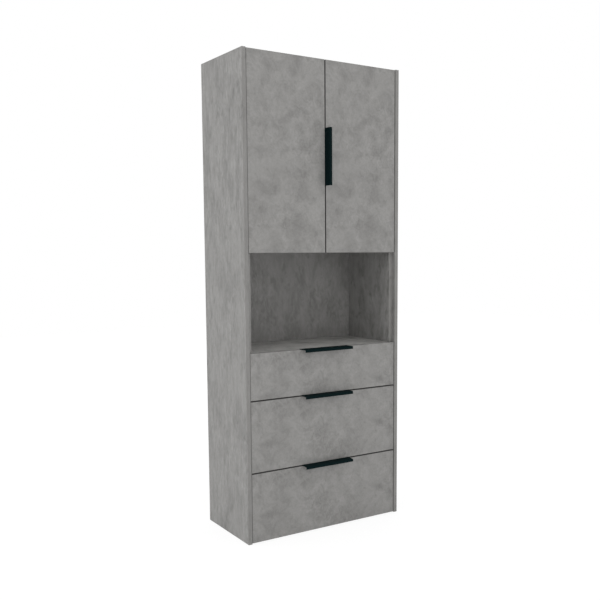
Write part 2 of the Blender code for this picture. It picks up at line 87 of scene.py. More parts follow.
def linear(code):
    """One sRGB hex colour as linear red, green, blue and alpha.

    Each part is divided by 12.92 in the darkest tones, and above them raised to the power 2.4.
    """
    parts = [int(code[i:i + 2], 16) / 255 for i in (1, 3, 5)]
    return (*[p / 12.92 if p <= 0.04045 else ((p + 0.055) / 1.055) ** 2.4 for p in parts], 1.0)


PAPER, WHITE = linear("#f7f7f7"), linear("#ffffff")


def add_node(tree, kind, inputs=(), **settings):
    """A shader node with its settings; each input gets a value, or the output that feeds it."""
    node = tree.nodes.new(f"ShaderNode{kind}")
    for key, value in settings.items():
        setattr(node, key, value)
    for key, value in dict(inputs).items():
        if isinstance(value, bpy.types.NodeSocket):
            tree.links.new(value, node.inputs[key])
        else:
            node.inputs[key].default_value = value
    return node


def reckon(tree, operation, *values):
    """The output of one Math node, which works on the values in their order."""
    return add_node(tree, "Math", dict(enumerate(values)), operation=operation).outputs[0]


def empty_tree(owner):
    """The node tree of a world or a material, emptied, with the share of rays that see white.

    A ray sees white where it comes from the camera, off a gloss or through glass.
    """
    owner.use_nodes = True
    tree = owner.node_tree
    tree.nodes.clear()
    rays = add_node(tree, "LightPath")
    seen = rays.outputs["Is Camera Ray"]
    for kind in ("Is Transmission Ray", "Is Glossy Ray"):
        seen = reckon(tree, "MAXIMUM", seen, rays.outputs[kind])
    return tree, seen


camera_data = bpy.data.cameras.new("camera")
camera_data.lens, camera_data.sensor_width = LENS_MM, SENSOR_MM
camera_data.shift_x, camera_data.shift_y = SHIFT
camera = bpy.data.objects.new("camera", camera_data)
camera.location = EYE
camera.rotation_euler = (math.pi / 2 - DIP, 0.0, -HEADING)
bpy.context.scene.collection.objects.link(camera)
bpy.context.scene.camera = camera
bpy.context.scene.view_settings.view_transform = "Standard"

world = bpy.data.worlds.new("studio")
bpy.context.scene.world = world
tree, seen = empty_tree(world)
light = add_node(tree, "Background", {0: WHITE, 1: STUDIO_LIGHT})
white = add_node(tree, "Background", {0: WHITE, 1: SEEN_LIGHT})
both = add_node(tree, "MixShader", {0: seen, 1: light.outputs[0], 2: white.outputs[0]})
add_node(tree, "OutputWorld", {0: both.outputs[0]})

for name, lamp in LAMPS.items():
    data = bpy.data.lights.new(name, "AREA")
    data.shape, data.size, data.energy = "DISK", lamp["size"], lamp["watts"]
    data.color = linear(lamp["colour"])[:3]
    item = bpy.data.objects.new(name, data)
    item.location = lamp["place"]
    aim = Vector(lamp["aim"]) - Vector(lamp["place"])
    item.rotation_euler = aim.to_track_quat("-Z", "Y").to_euler()
    bpy.context.scene.collection.objects.link(item)

corners = np.array([(-1, -1), (1, -1), (1, 1), (-1, 1)]) * FLOOR_HALF
floor_mesh = bpy.data.meshes.new("floor")
floor_mesh.from_pydata(np.c_[corners, np.full(4, -FLOOR_DROP)].tolist(), [], [(0, 1, 2, 3)])
floor = bpy.data.objects.new("floor", floor_mesh)
bpy.context.scene.collection.objects.link(floor)
floor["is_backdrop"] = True
paper = bpy.data.materials.new("studio_paper")
tree, seen = empty_tree(paper)
share = reckon(tree, "MULTIPLY", seen, GLOW_SHARE)
matt = add_node(tree, "BsdfDiffuse", {0: PAPER})
glow = add_node(tree, "Emission", {0: WHITE, 1: FLOOR_GLOW})
both = add_node(tree, "MixShader", {0: share, 1: matt.outputs[0], 2: glow.outputs[0]})
add_node(tree, "OutputMaterial", {0: both.outputs[0]})
floor_mesh.materials.append(paper)


# The boards: particle board faced with melamine paper printed as cast concrete. The fronts have
# plastic edging on all four edges, the carcass boards on the edges that show, and the rear edges
# are left as sawn. The two doors are cut from sheets of one print, and so are the drawer fronts.
NODES = frame["nodes"]
RECORD_SLOT = {entry["node"]: entry["material_slot"] for entry in frame["record"]["subparts"]}
# Each noise of the print: the coordinates it lies on, the size of its features, and its form.
# The pressed grain of the paper is finer than 1 mm, and is drawn coarser so that it shows.
PRINT_NOISE = {
    "cloud": {"on": "sheet", "mm": 95.0, "detail": 4.0, "rough": 0.6, "curl": 0.5},
    "patch": {"on": "sheet", "mm": 210.0, "detail": 1.0, "rough": 0.5, "curl": 0.4},
    "speck": {"on": "sheet", "mm": 8.0, "detail": 2.0, "rough": 0.6, "curl": 0.0},
    "swirl": {"on": "strokes", "mm": 24.0, "detail": 3.0, "rough": 0.6, "curl": 1.4},
    "blot": {"on": "strokes", "mm": 36.0, "detail": 2.0, "rough": 0.55, "curl": 0.8},
    "streak": {"on": "streaks", "mm": 21.0, "detail": 2.0, "rough": 0.55, "curl": 0.0},
    "pressed": {"on": "place", "mm": 1.4, "detail": 2.0, "rough": 0.6, "curl": 0.0},
}
STROKE_TURN, STROKE_DRAWN = math.radians(-25), 1.25
STREAK_LONG_MM, PORE_MM = 85.0, 13.0
# How strong each noise is in a print, and how far the whole print is drawn out upwards (drawn).
# The boards in the niche have bolder prints, because they show as much in much less light.
PRINTS = {
    "cloudy": dict(cloud=1.00, swirl=0.60, blot=-0.17, speck=0.27, streak=0.00, drawn=1.00),
    "drawn": dict(cloud=1.02, swirl=0.75, blot=-0.30, speck=0.36, streak=0.55, drawn=0.50),
    "inner": dict(cloud=1.50, swirl=1.10, blot=-0.45, speck=0.25, streak=0.45, drawn=0.60),
    "shaded": dict(cloud=3.00, swirl=1.80, blot=-0.80, speck=0.35, streak=0.90, drawn=0.58),
    "pale": dict(cloud=1.30, swirl=0.65, blot=-0.30, speck=0.25, streak=0.00, drawn=1.00),
}
CONCRETE_DARK = linear("#5a5957")
# The second lightest colour is the print's own lightest with painted light added, for the niche floor.
CONCRETE_LIGHT, CONCRETE_PAINTED_LIGHT = linear("#999896"), linear("#b9b8b5")
# Each board's print, its middle tone between the darkest and the lightest colour, and the lightest.
BOARD_PRINT = {
    "cover_panel": ("drawn", 0.51, CONCRETE_LIGHT),
    "carcass_side": ("inner", 0.57, CONCRETE_LIGHT),
    "niche_back": ("shaded", 0.51, CONCRETE_LIGHT),
    # The niche floor's paler lightest colour and higher middle tone are painted light, standing for the light that
    # falls on it from above the front.
    "niche_floor": ("pale", 0.62, CONCRETE_PAINTED_LIGHT),
}
OTHER_PRINT = ("cloudy", 0.51, CONCRETE_LIGHT)
# Spans: the first two numbers go in, and the last two come out. They say how strong the trowel
# marks are from patch to patch, where a blot starts and is full, the plateaus that cut off the
# palest and darkest clouds, how dark a pore is, and how rough the matt face is.
CALM = (0.38, 0.64, 0.35, 1.25)
BLOTS = (0.58, 0.80, 0.0, 1.0)
PLATEAUS = (0.30, 0.57, 0.30, 0.57)
PORES = (0.05, 0.11, 0.25, 0.0)
MATT = (0.3, 0.7, 0.50, 0.62)
NOISE_MIDDLE = 0.5
MELAMINE_IOR, PRESSED_STRENGTH, PRESSED_DEPTH = 1.48, 0.5, 0.00008
EDGING_GREY, GLUE_GREY, GAP_GREY = linear("#757472"), linear("#565553"), linear("#2b2a29")
EDGING_SHARE, GLUE_SHARE, GAP_SHARE = 0.6, 0.7, 0.9
EDGING, GLUE_LINE, SAWN, SOFT = 0.0010, 0.00022, 0.0003, 0.0001
# Real chips are about 0.5 mm thick, and are drawn thicker so that they show.
CHIP_PALE, CHIP_BROWN = linear("#c6a678"), linear("#7a5b3b")
CHIP_THICK_MM, CHIP_LONG_MM = 0.9, 5.5
SHEET_STEP, DOOR_SHEET, DRAWER_SHEET = np.array([0.83, 1.411, 1.909]), 4.7, 6.9
FRONTS = ["left_door", "right_door", "top_drawer_front", "middle_drawer_front",
          "bottom_drawer_front"]
# The edges across a 3 mm gap are drawn darker than they are, because the real gap's shadow is
# too fine to show in the render: each is (axis, 0 for the low end or 1 for the high one, width).
GAP_EDGES = {"left_door": (0, 1, 0.0008), "right_door": (0, 0, 0.0008),
             "middle_drawer_front": (2, 1, 0.0025), "bottom_drawer_front": (2, 1, 0.0025)}


def per_metre(size_mm):
    """The scale of a pattern with features of that size: 1000 mm divided by it."""
    return 1000.0 / size_mm


def noise_of(tree, place, size_mm, detail, rough, curl=0.0):
    """Noise between 0 and 1, mostly near its middle, with features that many millimetres wide."""
    return add_node(tree, "TexNoise", {
        "Vector": place, "Scale": per_metre(size_mm), "Detail": detail, "Roughness": rough,
        "Distortion": curl}).outputs[0]


def spread(tree, value, span):
    """Carry a value evenly from the span's first pair of numbers to its second, and clamp it."""
    return add_node(tree, "MapRange", dict(enumerate((value, *span)))).outputs[0]


def mixed(tree, share, first, second):
    """The first colour where the share is 0, the second where it is 1, and a mix between."""
    return add_node(tree, "Mix", {0: share, 6: first, 7: second}, data_type="RGBA").outputs[2]


def bumped(tree, shader, height, strength, depth):
    """Tilt the surface's normals like a relief whose height is the pattern times the depth."""
    bump = add_node(tree, "Bump", {"Height": height, "Strength": strength, "Distance": depth})
    tree.links.new(bump.outputs[0], shader["Normal"])


def new_material(name):
    """An empty material whose Principled shader is already linked to its output."""
    material = bpy.data.materials.new(name)
    material.use_nodes = True
    tree = material.node_tree
    tree.nodes.clear()
    shader = add_node(tree, "BsdfPrincipled")
    add_node(tree, "OutputMaterial", {0: shader.outputs[0]})
    return material, tree, shader.inputs, add_node(tree, "TexCoord").outputs["Object"]


def edge_distance(tree, place, edges):
    """How far a point lies inside the nearest of the edges, given as (axis, edge, sign) each.

    For each edge it is the sign times the edge less the point, and the smallest one counts.
    """
    parts = add_node(tree, "SeparateXYZ", {0: place})
    nearest = None
    for axis, edge, sign in edges:
        inside = reckon(tree, "MULTIPLY_ADD", parts.outputs[axis], -sign, sign * edge)
        nearest = inside if nearest is None else reckon(tree, "MINIMUM", nearest, inside)
    return nearest


def chipboard(tree, place, thin_axis):
    """Colour of sawn particle board: flat chips that lie along the board, pale with brown glue."""
    scale = [per_metre(CHIP_LONG_MM)] * 3
    scale[thin_axis] = per_metre(CHIP_THICK_MM)
    chips = add_node(tree, "Mapping", {0: place, 3: scale}).outputs[0]
    cells = add_node(tree, "TexVoronoi", {"Vector": chips, "Scale": 1.0}).outputs["Color"]
    shade = add_node(tree, "SeparateColor", {0: cells}).outputs[0]
    return mixed(tree, shade, CHIP_PALE, CHIP_BROWN)


def concrete_melamine(name, thin_axis, shift, edges, print_name, mid_tone, lightest):
    """Matt melamine with a concrete print: soft clouds, curled trowel marks, specks and pores.

    The tone is the middle tone plus each noise's distance from its own middle times its share.
    shift says which part of the print the board is cut from, and edges which of its edges are
    banded with plastic, lie dark in a gap, or are sawn. The pressed paper gives a faint grain.
    """
    material, tree, shader, place = new_material(name)
    share = PRINTS[print_name]
    where = {"place": place}
    drawn, streak_drawn = share["drawn"], PRINT_NOISE["streak"]["mm"] / STREAK_LONG_MM
    where["sheet"] = add_node(tree, "Mapping", {0: place, 1: shift, 3: (1, 1, drawn)}).outputs[0]
    where["strokes"] = add_node(tree, "Mapping", {
        0: where["sheet"], 2: (0, STROKE_TURN, 0), 3: (1, 1, STROKE_DRAWN)},
        vector_type="TEXTURE").outputs[0]
    where["streaks"] = add_node(tree, "Mapping", {
        0: place, 1: shift, 3: (1, 1, streak_drawn)}).outputs[0]
    noise = {}
    for key, like in PRINT_NOISE.items():
        if share.get(key, 1.0):
            noise[key] = noise_of(tree, where[like["on"]], like["mm"], like["detail"],
                                  like["rough"], like["curl"])

    calm = spread(tree, noise["patch"], CALM)
    marks = reckon(tree, "SUBTRACT", noise["swirl"], NOISE_MIDDLE)
    marks = reckon(tree, "MULTIPLY", marks, calm)
    blots = spread(tree, noise["blot"], BLOTS)
    noise["cloud"] = spread(tree, noise["cloud"], PLATEAUS)
    even = [key for key in ("cloud", "speck", "streak") if share[key]]
    value = mid_tone - NOISE_MIDDLE * sum(share[key] for key in even)
    parts = [(marks, share["swirl"]), (blots, share["blot"])]
    for output, part in parts + [(noise[key], share[key]) for key in even]:
        value = reckon(tree, "MULTIPLY_ADD", output, part, value)
    colour = mixed(tree, value, CONCRETE_DARK, lightest)
    cells = add_node(tree, "TexVoronoi", {"Vector": where["sheet"], "Scale": per_metre(PORE_MM)})
    pores = spread(tree, cells.outputs["Distance"], PORES)

    inside = edge_distance(tree, place, edges["banded"])
    band = spread(tree, inside, (EDGING, EDGING + SOFT, EDGING_SHARE, 0.0))
    away = reckon(tree, "ABSOLUTE", reckon(tree, "SUBTRACT", inside, EDGING))
    glue = spread(tree, away, (0.0, GLUE_LINE, GLUE_SHARE, 0.0))
    layers = [(pores, CONCRETE_DARK), (band, EDGING_GREY), (glue, GLUE_GREY)]
    for edge, wide in edges["gap"]:
        inside = edge_distance(tree, place, [edge])
        layers.append((spread(tree, inside, (wide, wide + SOFT, GAP_SHARE, 0.0)), GAP_GREY))
    if edges["sawn"]:
        inside = edge_distance(tree, place, edges["sawn"])
        cut = spread(tree, inside, (SAWN, SAWN + SOFT, 1.0, 0.0))
        layers.append((cut, chipboard(tree, place, thin_axis)))
    for mask, over in layers:
        colour = mixed(tree, mask, colour, over)
    tree.links.new(colour, shader["Base Color"])

    bumped(tree, shader, noise["pressed"], PRESSED_STRENGTH, PRESSED_DEPTH)
    tree.links.new(spread(tree, noise["cloud"], MATT), shader["Roughness"])
    shader["IOR"].default_value = MELAMINE_IOR
    return material


def finish_node(node, material):
    """Give a CAD node its one material, in place of the plain one it came with."""
    NODES[node].data.materials.clear()
    NODES[node].data.materials.append(material)


concrete_nodes = sorted(node for node, slot in RECORD_SLOT.items() if slot == "concrete_melamine")
for number, node in enumerate(concrete_nodes, start=1):
    low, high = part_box(node)
    shift = SHEET_STEP * number
    edges = {"banded": [(1, low.y, -1)], "gap": [], "sawn": [(1, high.y, 1)]}
    if node in FRONTS:
        edges = {"banded": [(0, low.x, -1), (0, high.x, 1), (2, low.z, -1), (2, high.z, 1)],
                 "gap": [], "sawn": []}
        if node in GAP_EDGES:
            axis, end, wide = GAP_EDGES[node]
            edges["gap"] = [((axis, (low, high)[end][axis], (-1, 1)[end]), wide)]
        sheet = DOOR_SHEET if node.endswith("door") else DRAWER_SHEET
        shift = SHEET_STEP * sheet - (low.x, 0.0, high.z)
    elif node.startswith("cover_panel"):
        edges["banded"].append((2, high.z, 1))
    elif node == "adjustable_shelf":
        edges["banded"].append((1, high.y, 1))
        edges["sawn"] = []
    look = next((value for start, value in BOARD_PRINT.items() if node.startswith(start)),
                OTHER_PRINT)
    thin_axis = int(np.argmin(np.array(high - low)))
    board = concrete_melamine(f"concrete_melamine_{node}", thin_axis, shift, edges, *look)
    finish_node(node, board)


# The cabinet's back and the drawer bottoms: 3 mm hardboard, wet-pressed from wood fibre. The
# face towards the inside is lacquered grey, and the other face is left brown with its fibres,
# which are drawn far wider than real ones so that they show.
LACQUER_GREY, LACQUER_PALE = linear("#8b8a87"), linear("#979693")
FIBRE_BROWN, FIBRE_DARK = linear("#8f6c48"), linear("#5d4229")
FIBRE_WIDE_MM, FIBRE_LONG_MM, FELT_MM = 0.8, 9.0, 14.0
FIBRE_TONES = (0.7, 1.3, 0.0, 1.0)
FIBRE_STRENGTH, FIBRE_DEPTH, LACQUER_ROUGH, FIBRE_ROUGH = 0.4, 0.0001, 0.42, 0.85


def hardboard(name, thin_axis, middle, sign):
    """Hardboard: lacquered on one face, and bare fibre beyond the sheet's middle on the other.

    Long fibres over felted clumps give the bare face its mottled brown, and show as a faint
    unevenness under the lacquer.
    """
    material, tree, shader, place = new_material(name)
    inside = edge_distance(tree, place, [(thin_axis, middle, sign)])
    bare = reckon(tree, "LESS_THAN", inside, 0.0)
    stretch = [1.0, 1.0, 1.0]
    stretch[2 if thin_axis == 1 else 0] = FIBRE_WIDE_MM / FIBRE_LONG_MM
    strands = add_node(tree, "Mapping", {0: place, 3: stretch}).outputs[0]
    fibre = noise_of(tree, strands, FIBRE_WIDE_MM, detail=3.0, rough=0.6)
    felt = noise_of(tree, place, FELT_MM, detail=4.0, rough=0.65)
    depth = spread(tree, reckon(tree, "ADD", fibre, felt), FIBRE_TONES)
    grey = mixed(tree, depth, LACQUER_GREY, LACQUER_PALE)
    brown = mixed(tree, depth, FIBRE_DARK, FIBRE_BROWN)
    tree.links.new(mixed(tree, bare, grey, brown), shader["Base Color"])
    dull = spread(tree, bare, (0.0, 1.0, LACQUER_ROUGH, FIBRE_ROUGH))
    tree.links.new(dull, shader["Roughness"])
    bumped(tree, shader, fibre, FIBRE_STRENGTH, FIBRE_DEPTH)
    return material


DRAWERS = ["top", "middle", "bottom"]
low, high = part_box("back_panel")
finish_node("back_panel", hardboard("grey_hardboard_back", 1, (low.y + high.y) / 2, 1))
for level in DRAWERS:
    low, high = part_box(f"{level}_drawer_bottom")
    sheet = hardboard(f"grey_hardboard_{level}", 2, (low.z + high.z) / 2, -1)
    finish_node(f"{level}_drawer_bottom", sheet)


# The drawer boxes: 12 mm particle board wrapped in light grey foil, grooved for the bottom. The
# foil goes round the top edge, and the rear ends are sawn. Its faint drawn lines are finer than
# 0.5 mm on real foil, and coarser here so that they show.
FOIL_GREY, FOIL_PALE = linear("#a7a6a3"), linear("#b3b2af")
FOIL_TONES = (0.25, 0.75, 0.0, 1.0)
FOIL_WIDE_MM, FOIL_LONG_MM = 1.3, 90.0
FOIL_STRENGTH, FOIL_DEPTH, FOIL_ROUGH = 0.2, 0.00005, 0.48


def foiled_board(name, high, along):
    """Foil with fine lines drawn along one axis, and chips on the sawn rear ends of the sides."""
    material, tree, shader, place = new_material(name)
    stretch = [1.0, 1.0, 1.0]
    stretch[along] = FOIL_WIDE_MM / FOIL_LONG_MM
    drawn = add_node(tree, "Mapping", {0: place, 3: stretch}).outputs[0]
    lines = noise_of(tree, drawn, FOIL_WIDE_MM, detail=3.0, rough=0.6)
    colour = mixed(tree, spread(tree, lines, FOIL_TONES), FOIL_GREY, FOIL_PALE)
    if along == 1:
        inside = edge_distance(tree, place, [(1, high.y, 1)])
        cut = spread(tree, inside, (SAWN, SAWN + SOFT, 1.0, 0.0))
        colour = mixed(tree, cut, colour, chipboard(tree, place, 0))
    tree.links.new(colour, shader["Base Color"])
    bumped(tree, shader, lines, FOIL_STRENGTH, FOIL_DEPTH)
    shader["Roughness"].default_value = FOIL_ROUGH
    return material


for node, slot in RECORD_SLOT.items():
    if slot == "grey_box_board":
        _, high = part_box(node)
        along = 0 if node.endswith("back") else 1
        finish_node(node, foiled_board(f"foiled_board_{node}", high, along))


# The pulls: 2 mm steel sheet bent over the edge of each front and powder coated matt black, with
# a slight blue-green cast. Three black countersunk screws hold the leg in the front's back.
PULL_BLACK, PULL_CAST = linear("#061213"), linear("#0b1c1e")
PEEL_TONES = (0.2, 0.8, 0.0, 1.0)
PEEL_MM, PEEL_STRENGTH, PEEL_DEPTH = 0.7, 0.3, 0.00005
COAT_ROUGH, COAT_IOR, COAT_GLOSS = 0.62, 1.15, 0.2
PULL_SCREW, PULL_SCREW_RISE, PULL_SCREWS_AT = 0.0062, 0.0005, (0.025, 0.125, 0.225)
LEG_MIDDLE = 0.010
SHARP_ANGLE = math.radians(35)
# A screw head's rings, each as a share of its radius and of its rise, and its cross recess.
HEAD_RINGS = [(1.0, 0.5), (0.88, 1.0), (0.76, 1.05)]
CROSS_ARM, CROSS_HALF, CROSS_TAPER, RECESS_FLOOR, HEAD_SUNK = 0.34, 0.085, 0.85, 0.00005, 0.0003


def powder_coat(name):
    """Powder coat melted on steel: matt, almost black, with fine orange peel and little gloss."""
    material, tree, shader, place = new_material(name)
    peel = noise_of(tree, place, PEEL_MM, detail=2.0, rough=0.5)
    colour = mixed(tree, spread(tree, peel, PEEL_TONES), PULL_BLACK, PULL_CAST)
    tree.links.new(colour, shader["Base Color"])
    bumped(tree, shader, peel, PEEL_STRENGTH, PEEL_DEPTH)
    shader["Roughness"].default_value = COAT_ROUGH
    shader["IOR"].default_value = COAT_IOR
    shader["Specular IOR Level"].default_value = COAT_GLOSS
    return material


def placed(loops, place, out, up=(0, 0, 1)):
    """Turn loops of (across, up, out) points to face out, and move them to their place."""
    out, up = Vector(out).normalized(), Vector(up)
    across = up.cross(out).normalized()
    return loops @ np.array([across, out.cross(across), out]) + np.array(place)


def turned(profile, around, ripple=0.0, ripples=0):
    """Each (radius, height) of the profile goes once round; a ripple is a cosine on the radius."""
    angle = np.arange(around) * 2 * math.pi / around
    radius, height = np.array(profile, float).T[:, :, None]
    radius = radius + ripple * np.cos(ripples * angle)
    return np.stack([radius * np.cos(angle), radius * np.sin(angle), height + 0 * angle], axis=-1)


def cross_outline(arm, half):
    """A cross of four arms: six points of one arm and its corner, turned by quarters."""
    between = (arm + half) / 2
    quarter = np.array([(arm, -half), (arm, 0), (arm, half),
                        (between, half), (half, half), (half, between)])
    turns = np.array([[(1, 0), (0, 1)], [(0, 1), (-1, 0)], [(-1, 0), (0, -1)], [(0, -1), (1, 0)]])
    return (quarter @ turns).reshape(-1, 2)


def cross_head(width, rise):
    """A screw head or cam: rings up to a slightly domed face, then down into a cross recess.

    The cross is carried inwards from a ring whose points lie at the same angles as its own.
    """
    cross = cross_outline(CROSS_ARM * width, CROSS_HALF * width)
    ring = cross / np.linalg.norm(cross, axis=1)[:, None] * width / 2
    steps = [(ring, -HEAD_SUNK)] + [(ring * share, rise * lift) for share, lift in HEAD_RINGS]
    steps += [(cross, steps[-1][1]), (cross * CROSS_TAPER, RECESS_FLOOR)]
    return np.stack([np.c_[flat, np.full(len(flat), height)] for flat, height in steps])


def new_piece(name, shapes, material, body, recess=None):
    """One object from closed shapes: quads between successive loops, one face over each end.

    It rides on the body, unless that is None, for a piece that joins two bodies. recess is a
    second material, the painted shade, for the face over the last loop of each shape.
    """
    points, faces, recesses, first = [], [], [], 0
    for loops in shapes:
        count, around = loops.shape[:2]
        grid = np.arange(count * around).reshape(count, around) + first
        onward = np.roll(grid, -1, axis=1)
        quads = np.stack([grid[:-1], onward[:-1], onward[1:], grid[1:]], axis=-1).reshape(-1, 4)
        faces += quads.tolist() + [grid[0, ::-1].tolist(), grid[-1].tolist()]
        recesses.append(len(faces) - 1)
        points.append(loops.reshape(-1, 3))
        first += count * around
    mesh = bpy.data.meshes.new(name)
    mesh.from_pydata(np.concatenate(points).tolist(), [], faces)
    mesh.shade_smooth()
    mesh.set_sharp_from_angle(angle=SHARP_ANGLE)
    mesh.materials.append(material)
    if recess:
        mesh.materials.append(recess)
        index = np.zeros(len(faces), np.int32)
        index[recesses] = 1
        mesh.polygons.foreach_set("material_index", index)
    item = bpy.data.objects.new(name, mesh)
    bpy.context.scene.collection.objects.link(item)
    if body:
        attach(item, body)
    return item


black_coat = powder_coat("black_powder_coat")
pull_screw = cross_head(PULL_SCREW, PULL_SCREW_RISE)
for node, slot in RECORD_SLOT.items():
    if slot == "black_powder_coat":
        finish_node(node, black_coat)
        low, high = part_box(node)
        if node == "door_pull":
            body = "right_door"
            spots = [(high.x - LEG_MIDDLE, high.y, low.z + at) for at in PULL_SCREWS_AT]
        else:
            body = node.replace("_pull", "")
            spots = [(low.x + at, high.y, low.z + LEG_MIDDLE) for at in PULL_SCREWS_AT]
        new_piece(f"{node}_screws", [placed(pull_screw, spot, (0, 1, 0)) for spot in spots],
                  black_coat, body)


# The hinges: pressed and nickel-plated steel, with two screws through each cup's flange, an
# axle and a grey damper inside the cup, and on the arm the screws that shift the door.
# The shelf pins and the small screws are plated in the same way.
NICKEL, NICKEL_DULL, NICKEL_ROUGH, PLATING_MM = (
    linear("#d4d1ca"), linear("#c6c3bc"), (0.22, 0.28), 6.0)
# Painted shade for the floor of a screw's recess: two dark tones of steel that stand for the shade in it.
RECESS_PAINTED_SHADE, RECESS_DEEPER_PAINTED_SHADE, RECESS_ROUGH, RECESS_MM = (
    linear("#383633"), linear("#262421"), (0.55, 0.70), 1.5)
ACETAL_GREY, ACETAL_SHADE, ACETAL_ROUGH, ACETAL_MM = linear("#77797a"), linear("#828485"), 0.4, 0.5
PLATED_TONES, MOULD_TONES = (0.3, 0.7, 0.0, 1.0), (0.2, 0.8, 0.0, 1.0)
MOULD_STRENGTH, MOULD_DEPTH = 0.25, 0.00005
CUP_WIDE, FLANGE_HALF, FLANGE_SCREW_AT = 0.035, 0.012, 0.024
FLANGE_SCREW, FLANGE_SCREW_RISE = 0.0072, 0.0007
AXLE = {"radius": 0.00125, "half": 0.0085, "from_rim": 0.0052, "under_flange": 0.0070}
DAMPER = {"radius": 0.0026, "half": 0.0090, "from_rim": 0.0052, "under_flange": 0.0086}
# The damper's body and its thinner rod: shares of its radius and of its half length, and an offset.
DAMPER_PROFILE = [(0.6, -1, 0), (1, -1, 0.0008), (1, 0.3, 0),
                  (0.8, 0.36, 0), (0.8, 1, -0.0006), (0.5, 1, 0)]
# The arm's own screws, by their distance from its tip: width and rise.
ARM_SCREWS = {0.0236: (0.0062, 0.0007), 0.0500: (0.0080, 0.0012)}
SUNK, CORNER_POINTS = 0.0002, 5
SLOT_PLATE = {"width": 0.0150, "height": 0.0100, "radius": 0.004,
              "levels": [(0, -SUNK), (0, 0.00024), (0.0003, 0.0004)]}
MOUNTING_PLATE, MOUNTING_SCREW, MOUNTING_RISE = 0.002, 0.0084, 0.0012
MOUNTING_AT, MOUNTING_ROW = 0.016, 0.0486
SIDES = {"left": -1, "right": 1}


def plated_metal(name, bright, dull, rough_range, size_mm):
    """Plated or cast metal: bright, with soft cloudy patches where the surface is duller."""
    material, tree, shader, place = new_material(name)
    patches = noise_of(tree, place, size_mm, detail=2.0, rough=0.5)
    shade = spread(tree, patches, PLATED_TONES)
    tree.links.new(mixed(tree, shade, bright, dull), shader["Base Color"])
    dulled = spread(tree, shade, (0.0, 1.0, *rough_range))
    tree.links.new(dulled, shader["Roughness"])
    shader["Metallic"].default_value = 1.0
    return material


def moulded(name, first, second, roughness, grain_mm, through=0.0):
    """Moulded plastic or a thick coat: one colour, with the fine grain of its mould or its flow.

    The real grain is about 0.1 mm, and is drawn coarser so that it shows. through is the share
    of the light that passes into it, for a clear plastic.
    """
    material, tree, shader, place = new_material(name)
    grain = noise_of(tree, place, grain_mm, detail=2.0, rough=0.5)
    colour = mixed(tree, spread(tree, grain, MOULD_TONES), first, second)
    tree.links.new(colour, shader["Base Color"])
    bumped(tree, shader, grain, MOULD_STRENGTH, MOULD_DEPTH)
    shader["Roughness"].default_value = roughness
    shader["Transmission Weight"].default_value = through
    return material


def slab(width, height, radius, levels):
    """A plate with round corners: each (inset, level) shrinks the corners and lifts the outline."""
    angle = np.linspace(0, math.pi / 2, CORNER_POINTS)
    corner = np.concatenate([angle + quarter * math.pi / 2 for quarter in range(4)])
    signs = np.repeat([(1, 1), (-1, 1), (-1, -1), (1, -1)], CORNER_POINTS, axis=0)
    centre = signs * (width / 2 - radius, height / 2 - radius)
    inset, level = np.array(levels, float).T[:, :, None]
    return np.stack([centre[:, 0] + (radius - inset) * np.cos(corner),
                     centre[:, 1] + (radius - inset) * np.sin(corner), level + 0 * corner], axis=-1)


# Nickel plate is warm and bright; the floor of a screw's recess is painted shade, dark steel that
# stands for the shade in it. The damper is acetal, a smooth dense plastic.
nickel = plated_metal("nickel_plated_steel", NICKEL, NICKEL_DULL, NICKEL_ROUGH, PLATING_MM)
recess_painted_shade = plated_metal("steel_in_the_recess", RECESS_PAINTED_SHADE, RECESS_DEEPER_PAINTED_SHADE, RECESS_ROUGH,
                           RECESS_MM)
damper_grey = moulded("grey_acetal", ACETAL_GREY, ACETAL_SHADE, ACETAL_ROUGH, ACETAL_MM)
for node, slot in RECORD_SLOT.items():
    if slot == "nickel_plated_steel":
        finish_node(node, nickel)

